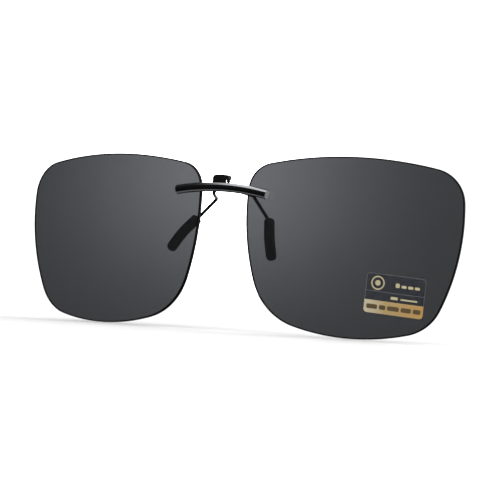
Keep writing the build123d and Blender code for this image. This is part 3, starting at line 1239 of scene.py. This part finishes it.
@dataclass
class ThumbPad:
    """The ribbed rubber cap on the lever, with a skirt in front and a sleeve on each leg."""

    half_width: float = 2.5
    top_z: float = 20.5
    shoulder_z: float = 20.15
    shelf_z: float = 19.1
    bottom_z: float = 18.45
    front_y: float = -1.2
    back_y: float = 0.45
    skirt_back_y: float = -0.6
    skirt_right: float = 1.5
    lip_y: float = -0.76
    lip_z: float = 18.28
    sleeve_radius: float = 0.5
    leg_x: float = 1.95
    leg_y: float = -0.25
    corner: float = 0.6
    edge: float = 0.12
    rib_pitch: float = 0.34
    rib_radius: float = 0.07
    rib_margin: float = 0.3
    rib_gaps: Pair = (0.12, 0.2)
    rib_sink: float = 0.02
    rib_rounding: float = 0.06
    rib_sides: int = 10
    overlap: float = 0.3
    sleeve_rounding: float = 0.1
    sleeve_sides: int = 36
    crown_steps: int = 24
    rounds_above: float = 40.0

    def cap(self) -> Solid:
        """The cap's arched block.

        Returns:
            Points and faces.
        """
        rise = self.top_z - self.shoulder_z
        bend = (self.half_width**2 + rise**2) / (2 * rise)
        crown = []
        for k in range(self.crown_steps + 1):
            x = self.half_width * (2 * k / self.crown_steps - 1)
            z = self.top_z - bend + math.sqrt(bend * bend - x * x)
            from_side = self.half_width - abs(x)
            if from_side < self.corner:
                lag = self.corner - from_side
                z -= self.corner - math.sqrt(max(0.0, self.corner**2 - lag**2))
            crown.append((x, z))
        profile = [(-self.half_width, self.shelf_z), *crown, (self.half_width, self.shelf_z)]
        return prism(*([Vector((CLAW_X + x, y, z)) for x, z in profile] for y in (self.front_y, self.back_y)))

    def skirt(self) -> Solid:
        """The skirt: its lower edge slopes up towards the front, to clear the saddle.

        Returns:
            Points and faces.
        """
        top = self.shelf_z + self.overlap
        profile = (
            (self.front_y, self.bottom_z), (self.lip_y, self.lip_z), (self.skirt_back_y, self.lip_z),
            (self.skirt_back_y, top), (self.front_y, top),
        )
        ends = (CLAW_X - self.half_width, CLAW_X + self.skirt_right)
        return prism(*([Vector((x, y, z)) for y, z in profile] for x in ends))

    def rib_tree(self) -> Tree:
        """A tree that sets upright round-nosed ribs side by side.

        Returns:
            The tree.
        """
        tree, given, output = new_tree(
            "grip_ribs",
            {
                "Count": "NodeSocketInt", "First": "NodeSocketVector", "Pitch": "NodeSocketVector",
                "Rib": "NodeSocketObject", "Finish": "NodeSocketMaterial",
            },
        )
        row = add_node(
            tree, "GeometryNodeMeshLine", Count=given.outputs["Count"], Start_Location=given.outputs["First"],
            Offset=given.outputs["Pitch"],
        )
        rib = add_node(tree, "GeometryNodeObjectInfo", Object=given.outputs["Rib"])
        ribs = add_node(
            tree, "GeometryNodeInstanceOnPoints", Points=row.outputs[0], Instance=rib.outputs["Geometry"]
        )
        end_tree(tree, ribs.outputs[0], given.outputs["Finish"], output)
        return tree

    def ribs(self) -> Mesh:
        """Grows the ribs on the skirt's face and on the cap's front.

        Returns:
            The ribs' mesh.
        """
        rubber = BLACK_SILICONE.material()
        count = int((self.half_width + self.skirt_right - 2 * self.rib_margin) / self.rib_pitch) + 1
        first = CLAW_X - self.half_width + self.rib_margin
        low, high = self.bottom_z + self.rib_gaps[0], self.shoulder_z - self.rib_gaps[1]
        route = [Vector((0, 0, low)), Vector((0, 0, (low + high) / 2)), Vector((0, 0, high))]
        rib = swept(route, self.rib_radius, (self.rib_rounding, self.rib_rounding), self.rib_sides)
        pattern = new_piece("rib_pattern", *rib, rubber)
        mesh = grown(
            "ribs",
            self.rib_tree(),
            {
                "Count": count, "First": Vector((first, self.front_y + self.rib_sink, 0)) * MM,
                "Pitch": Vector((self.rib_pitch, 0, 0)) * MM, "Rib": pattern, "Finish": rubber,
            },
        )
        bpy.data.objects.remove(pattern)
        return mesh

    def build(self) -> Piece:
        """Builds the pad as one moulding.

        Returns:
            The pad, riding on the claw.
        """
        rubber = BLACK_SILICONE.material()
        body = new_piece("cap", *self.cap(), rubber)
        skirt = new_piece("skirt", *self.skirt(), rubber)
        body = finish_piece("cap_and_skirt", cut_or_add(body, skirt, "UNION"), rubber)
        sleeves = []
        for side in Side:
            x = CLAW_X + side.value * self.leg_x
            route = [Vector((x, self.leg_y, z)) for z in (self.bottom_z, self.shelf_z + self.overlap)]
            sleeves.append(swept(route, self.sleeve_radius, (self.sleeve_rounding, 0.0), self.sleeve_sides))
        tool = new_piece("sleeves", *joined(*sleeves), rubber)
        body = finish_piece("moulding", cut_or_add(body, tool, "UNION"), rubber)
        rounding = body.modifiers.new("rounding", "BEVEL")
        rounding.width = self.edge * MM
        rounding.segments = 3
        rounding.limit_method = "ANGLE"
        rounding.angle_limit = math.radians(self.rounds_above)
        bpy.context.view_layer.update()
        mesh = evaluated(body)
        work = bmesh.new()
        work.from_mesh(mesh)
        work.from_mesh(self.ribs())
        work.to_mesh(mesh)
        work.free()
        pad = finish_piece("thumb_pad_moulded", mesh, rubber, sharp_above=50)
        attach(pad, CLAW_BODY)
        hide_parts("thumb_pad")
        return pad


@dataclass
class ClawArm:
    """A bent wire arm and the rubber sleeve on its end."""

    side: Side
    shoulders: tuple[Triple, ...]
    middle: Triple
    bottom: Triple
    top: Triple = (11.4, 6.74, 8.6)
    foot: Triple = (1.95, 0.05, 16.7)
    arm_bend: float = 1.0
    foot_bend: float = 0.5
    tip_bend: float = 18.0
    tip_radius: float = 1.42
    overhang: float = 0.3
    top_rounding: float = 0.5
    bottom_rounding: float = 1.25
    flash: float = 0.03
    wire_end: float = 0.1
    spacing: Pair = (0.4, 0.35)
    sides: tuple[int, int] = (32, 96)
    tip_steps: int = 24

    def on_side(self, points: Iterable[Sequence[float]]) -> list[Triple]:
        """Points of the claw, put on this arm's side in the row frame."""
        return [(CLAW_X + self.side.value * p[0], p[1], p[2]) for p in points]

    def build(self) -> list[Piece]:
        """Builds the wire and its sleeve.

        Returns:
            The arm and the tip.
        """
        corners = self.on_side([self.foot, *self.shoulders, self.top, self.middle, self.bottom])
        bends = [self.foot_bend, self.arm_bend, self.arm_bend, self.tip_bend]
        route = with_length(rounded_route(corners, bends), self.spacing[0])
        wire = swept(route, WIRE_RADIUS, (self.wire_end, self.wire_end), self.sides[0])
        arm = new_piece(f"claw_arm_wire_{self.side.word}", *wire, BLACK_WIRE.material())
        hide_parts(f"claw_arm_{self.side.word}")
        top, middle, bottom = (Vector(p) for p in (self.top, self.middle, self.bottom))
        start = top - (middle - top).normalized() * self.overhang
        end = bottom + (bottom - middle).normalized() * self.bottom_rounding
        bend = rounded_route(self.on_side([start, middle, end]), [self.tip_bend], self.tip_steps)
        route = with_length(bend, self.spacing[1])
        tip = new_piece(
            f"tip_sleeve_moulded_{self.side.word}",
            *swept(
                route, self.tip_radius, (self.top_rounding, self.bottom_rounding), self.sides[1], self.flash
            ),
            BLACK_SILICONE.material(),
        )
        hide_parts(f"tip_sleeve_{self.side.word}")
        for piece in (arm, tip):
            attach(piece, CLAW_BODY)
        return [arm, tip]


@dataclass
class Claw:
    """The sprung claw: two arms, the lever with its pad, the pin and the spring."""

    left_shoulders: tuple[Triple, ...] = ((2.75, 0.2, 15.37), (5.0, 5.9, 14.26))
    right_shoulders: tuple[Triple, ...] = ((2.6, 1.4, 16.5), (6.5, 5.9, 15.3))
    left_tip: tuple[Triple, ...] = ((13.65, 3.29, 4.6), (15.45, 1.54, 0.7))
    right_tip: tuple[Triple, ...] = ((13.65, 3.29, 3.45), (15.45, 1.54, -0.7))

    def build(self) -> list[Piece]:
        """Builds the claw and dresses the pieces that keep their CAD shape.

        Returns:
            The new pieces.
        """
        made = ClawArm(Side.LEFT, self.left_shoulders, *self.left_tip).build()
        made += ClawArm(Side.RIGHT, self.right_shoulders, *self.right_tip).build()
        made.append(ThumbPad().build())
        made.append(Spring().build())
        dress_node("press_lever", BLACK_WIRE)
        dress_node("hinge_bracket", BLACK_NICKEL)
        dress_node("hinge_pin", STAINLESS)
        return made


# ---------------- studio


@dataclass
class Studio:
    """A pale floor, a white sweep behind and soft light from above and behind."""

    floor_z: float = -21.35
    floor_half: float = 3000.0
    target: Triple = (8.19, 0.5, 0.59)
    azimuth: float = 0.516463
    elevation: float = -0.0210128
    roll: float = 0.0558010
    distance: float = 487.31
    focal: float = 132.02
    sensor: float = 36.0
    clip: Pair = (0.01, 20.0)
    glow_middle: Pair = (-0.0153, 0.0475)
    glow_width: Pair = (0.052, 0.0455)
    sweep_level: float = 1.05
    # Where each part of the world starts and ends, and its strength at both
    glow_facing: Ramp = (0.0, 0.5, 0.0, 3.75)
    ceiling: Ramp = (0.9, 1.15, 0.0, 1.9)
    ceiling_left: Ramp = (-0.57, -0.42, 0.02, 1.0)
    dark_front: Ramp = (-1.3, -1.05, 0.36, 0.012)
    under: Ramp = (-1.9, -1.7, 0.1, 1.0)
    back_low: Ramp = (-2.85, -2.75, 1.1, 0.0)
    fill: Ramp = (-0.4, 0.9, 0.95, 1.25)
    board: float = 0.96
    board_gloss: float = 0.06
    board_roughness: float = 0.08

    def floor(self) -> Piece:
        """Lays the floor.

        Returns:
            The floor.
        """
        paint = bpy.data.materials.new("white_lacquered_board")
        paint.use_nodes = True
        tree = paint.node_tree
        tree.nodes.remove(tree.nodes["Principled BSDF"])
        matt = add_node(tree, "ShaderNodeBsdfDiffuse", Color=(self.board, self.board, self.board, 1))
        gloss = add_node(tree, "ShaderNodeBsdfGlossy", Color=(1, 1, 1, 1), Roughness=self.board_roughness)
        both = add_node(tree, "ShaderNodeMixShader", Fac=self.board_gloss)
        tree.links.new(matt.outputs[0], both.inputs[1])
        tree.links.new(gloss.outputs[0], both.inputs[2])
        tree.links.new(both.outputs[0], tree.nodes["Material Output"].inputs["Surface"])
        half, z = self.floor_half, self.floor_z
        corners = [(-half, -half, z), (half, -half, z), (half, half, z), (-half, half, z)]
        mesh = bpy.data.meshes.new("floor")
        mesh.from_pydata([Vector(p) * MM for p in corners], [], [(0, 1, 2, 3)])
        mesh.materials.append(paint)
        board = bpy.data.objects.new("floor", mesh)
        bpy.context.scene.collection.objects.link(board)
        # The board lights and shades the part, but its polish and tint pick up the studio round it
        board.visible_glossy = False
        board.visible_transmission = False
        return board

    def view_axes(self) -> tuple[Vector, Vector, Vector]:
        """The camera's right, up and backward directions.

        Returns:
            Three unit vectors.
        """
        th, el = self.azimuth, self.elevation
        back = Vector((math.sin(th) * math.cos(el), -math.cos(th) * math.cos(el), math.sin(el)))
        right = Vector((math.cos(th), math.sin(th), 0))
        up = back.cross(right)
        turned_right = right * math.cos(self.roll) + up * math.sin(self.roll)
        turned_up = up * math.cos(self.roll) - right * math.sin(self.roll)
        return turned_right, turned_up, back

    def camera(self) -> Piece:
        """Sets up the camera.

        Returns:
            The camera.
        """
        right, up, back = self.view_axes()
        data = bpy.data.cameras.new("camera")
        data.lens = self.focal
        data.sensor_width = self.sensor
        data.clip_start, data.clip_end = self.clip
        camera = bpy.data.objects.new("camera", data)
        bpy.context.scene.collection.objects.link(camera)
        place = (Vector(self.target) + back * self.distance) * MM
        axes = Matrix((right, up, back)).transposed().to_4x4()
        camera.matrix_world = Matrix.Translation(place) @ axes
        bpy.context.scene.camera = camera
        return camera

    def world(self) -> None:
        """Makes the studio's light: a white sweep, a ceiling and back wall that shine, a dark front."""
        world = bpy.data.worlds.new("studio")
        bpy.context.scene.world = world
        world.use_nodes = True
        tree = world.node_tree
        tree.nodes.clear()
        way = add_node(tree, "ShaderNodeTexCoord").outputs["Generated"]
        axes = add_node(tree, "ShaderNodeSeparateXYZ", Vector=way)
        x, y, z = axes.outputs
        rays = add_node(tree, "ShaderNodeLightPath").outputs

        def ramp(value: object, low: float, high: float, start: float, end: float) -> Socket:
            """Maps a value smoothly from one range to another."""
            return add_node(
                tree, "ShaderNodeMapRange", {"interpolation_type": "SMOOTHSTEP"}, Value=value, From_Min=low,
                From_Max=high, To_Min=start, To_Max=end,
            ).outputs[0]

        # Sweep, as seen directly or through a lens: white, with a lamp's glow behind the bridge
        right, up, back = self.view_axes()

        def along(axis: Vector) -> Socket:
            """How far the ray points along an axis."""
            return add_node(
                tree, "ShaderNodeVectorMath", {"operation": "DOT_PRODUCT"}, i0=way, i1=axis
            ).outputs["Value"]

        spread: object = 0.0
        for axis, middle, width in zip((right, up), self.glow_middle, self.glow_width):
            off = math_node(tree, "DIVIDE", math_node(tree, "SUBTRACT", along(axis), middle), width)
            spread = math_node(tree, "ADD", math_node(tree, "MULTIPLY", off, off), spread)
        bell = math_node(tree, "EXPONENT", math_node(tree, "MULTIPLY", spread, -0.5))
        behind = ramp(along(-back), *self.glow_facing)
        sweep = math_node(tree, "ADD", math_node(tree, "MULTIPLY", bell, behind), self.sweep_level)

        # What gloss sees, by the angle round the X axis from the front horizon up and over
        angle = math_node(tree, "ARCTAN2", z, math_node(tree, "MULTIPLY", y, -1.0))
        ceiling = math_node(tree, "MULTIPLY", ramp(angle, *self.ceiling), ramp(x, *self.ceiling_left))
        lower = math_node(tree, "MULTIPLY", ramp(angle, *self.dark_front), ramp(angle, *self.under))
        upper = math_node(tree, "ADD", ceiling, lower)
        gloss = math_node(tree, "ADD", upper, ramp(angle, *self.back_low))

        # What lights the matt surfaces: even, a little stronger from above
        fill = ramp(z, *self.fill)

        def choose(share: object, first: object, second: object) -> Socket:
            """Takes the second value where the share is one, and the first where it is none."""
            mix = add_node(tree, "ShaderNodeMix", {"data_type": "FLOAT"}, Factor=share)
            for value, socket in ((first, mix.inputs[2]), (second, mix.inputs[3])):
                tree.links.new(value, socket)
            return mix.outputs[0]

        off_surface = choose(rays["Is Glossy Ray"], choose(rays["Is Diffuse Ray"], sweep, fill), gloss)
        seen = choose(rays["Is Transmission Ray"], off_surface, sweep)
        background = add_node(tree, "ShaderNodeBackground", Color=(1, 1, 1, 1), Strength=seen)
        output = add_node(tree, "ShaderNodeOutputWorld")
        tree.links.new(background.outputs[0], output.inputs["Surface"])

    def build(self) -> None:
        """Sets up the whole studio."""
        self.floor()
        self.camera()
        self.world()
        bpy.context.scene.view_settings.view_transform = "Standard"


def main() -> None:
    """Builds every sub-assembly in order."""
    logging.basicConfig(level=logging.INFO, format="%(name)s: %(message)s")
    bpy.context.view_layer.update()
    Studio().build()
    right = Lens(Side.RIGHT)
    made = [right.build(), Lens(Side.LEFT).build(), BridgeBar().build()]
    made += Fixings().build()
    made += Label(right).build()
    made += Claw().build()
    for piece in made:
        LOG.info("%s has %d faces", piece.name, len(piece.data.polygons))


if __name__ == "__main__":
    main()
